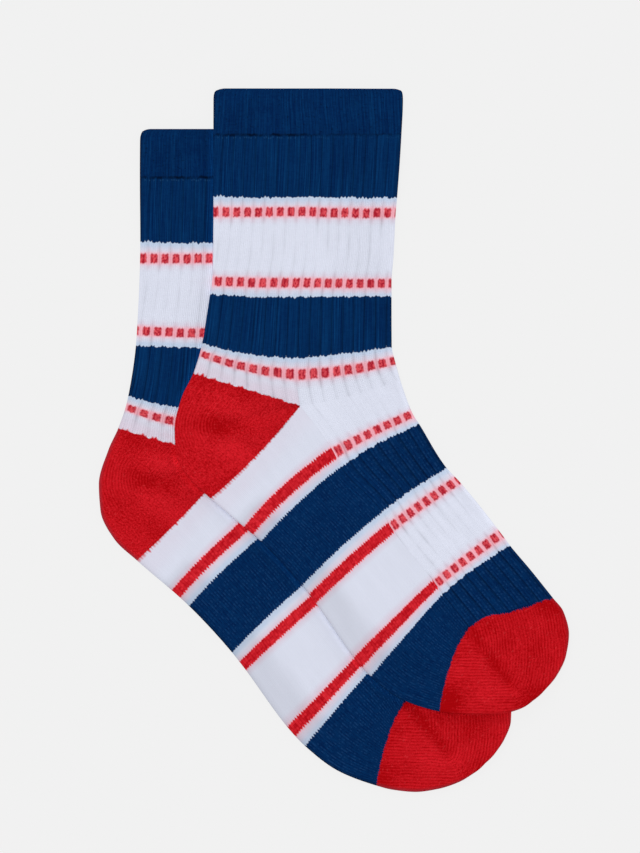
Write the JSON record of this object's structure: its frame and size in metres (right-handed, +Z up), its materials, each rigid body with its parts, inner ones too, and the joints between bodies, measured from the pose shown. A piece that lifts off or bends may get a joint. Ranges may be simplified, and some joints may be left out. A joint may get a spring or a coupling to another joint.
{
  "type": "pair of crew socks",
  "caption": "Ribbed cotton crew socks laid flat as a pair, the front sock over the back one, with open cuffs, striped legs and feet, and plain heel and toe pockets.",
  "frame": {"origin": "middle of the pair's footprint, on the surface the pair lies on", "axes": "+Z up from the surface, +Y up the legs to the cuffs, +X to the side the toes point to"},
  "size_m": [0.213, 0.3186, 0.008],
  "materials": {
    "welt_knit": "navy cotton knit, doubled, matt",
    "ribbed_knit": "white cotton rib knit with navy bands and red lines, matt",
    "pocket_knit": "red cotton plain knit, matt"
  },
  "bodies": {
    "root": {"front_welt": "welt_knit", "front_leg": "ribbed_knit", "front_heel": "pocket_knit", "front_foot": "ribbed_knit", "front_toe": "pocket_knit", "back_welt": "welt_knit", "back_leg": "ribbed_knit", "back_heel": "pocket_knit", "back_foot": "ribbed_knit", "back_toe": "pocket_knit"}
  },
  "joints": []
}
